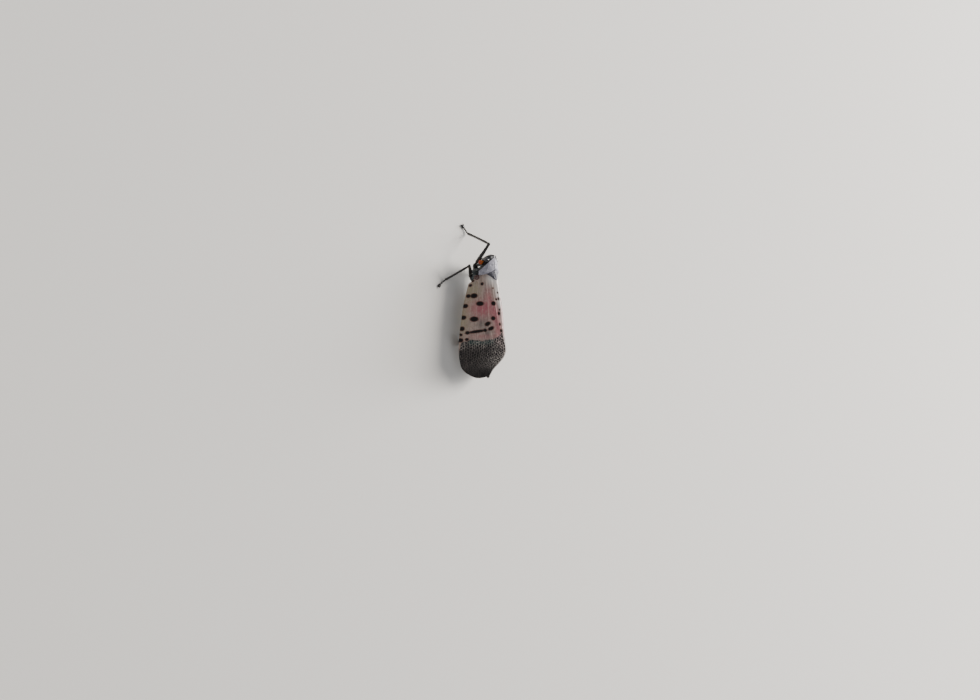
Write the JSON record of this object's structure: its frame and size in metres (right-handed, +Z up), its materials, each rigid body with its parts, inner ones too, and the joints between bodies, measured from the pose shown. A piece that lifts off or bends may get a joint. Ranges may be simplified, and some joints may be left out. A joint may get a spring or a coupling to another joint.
{
  "type": "spotted lanternfly",
  "caption": "Life-size spotted lanternfly at rest, wings folded like a roof over the body, standing on its feet with the left foreleg reaching ahead.",
  "frame": {"origin": "under the middle of the whole insect, on the level that its feet stand on", "axes": "+Z up from the back, +Y towards the head, +X to the insect's right"},
  "size_m": [0.0198, 0.0326, 0.0102],
  "materials": {
    "leg_cuticle": "black insect cuticle, satin",
    "body_cuticle": "near-black insect cuticle with a dull bloom",
    "head_cuticle": "dark brown-black cuticle, satin",
    "pale_plate": "pale grey waxy cuticle plate, matte",
    "grey_plate": "slate grey waxy cuticle plate, matte",
    "eye": "dark brown compound eye, glossy",
    "antenna": "orange grainy antenna bulb, satin",
    "forewing": "leathery grey-pink wing with black spots and a dark netted tip, matte",
    "hindwing": "red folded hind wing with black spots, thin and matte",
    "abdomen": "yellow cuticle with broad black bands, satin"
  },
  "bodies": {
    "root": {"head": "head_cuticle", "rostrum": "body_cuticle", "pronotum": "pale_plate", "scutellum": "grey_plate", "thorax": "body_cuticle", "abdomen": "abdomen", "eye_left": "eye", "antenna_left": "antenna", "tegula_left": "pale_plate", "forewing_left": "forewing", "hindwing_left": "hindwing", "eye_right": "eye", "antenna_right": "antenna", "tegula_right": "pale_plate", "forewing_right": "forewing", "hindwing_right": "hindwing", "coxa_fore_left": "leg_cuticle", "femur_fore_left": "leg_cuticle", "tibia_fore_left": "leg_cuticle", "tarsus_fore_left": "leg_cuticle", "coxa_fore_right": "leg_cuticle", "femur_fore_right": "leg_cuticle", "tibia_fore_right": "leg_cuticle", "tarsus_fore_right": "leg_cuticle", "coxa_middle_left": "leg_cuticle", "femur_middle_left": "leg_cuticle", "tibia_middle_left": "leg_cuticle", "tarsus_middle_left": "leg_cuticle", "coxa_middle_right": "leg_cuticle", "femur_middle_right": "leg_cuticle", "tibia_middle_right": "leg_cuticle", "tarsus_middle_right": "leg_cuticle", "coxa_hind_left": "leg_cuticle", "femur_hind_left": "leg_cuticle", "tibia_hind_left": "leg_cuticle", "tarsus_hind_left": "leg_cuticle", "coxa_hind_right": "leg_cuticle", "femur_hind_right": "leg_cuticle", "tibia_hind_right": "leg_cuticle", "tarsus_hind_right": "leg_cuticle"}
  },
  "joints": []
}
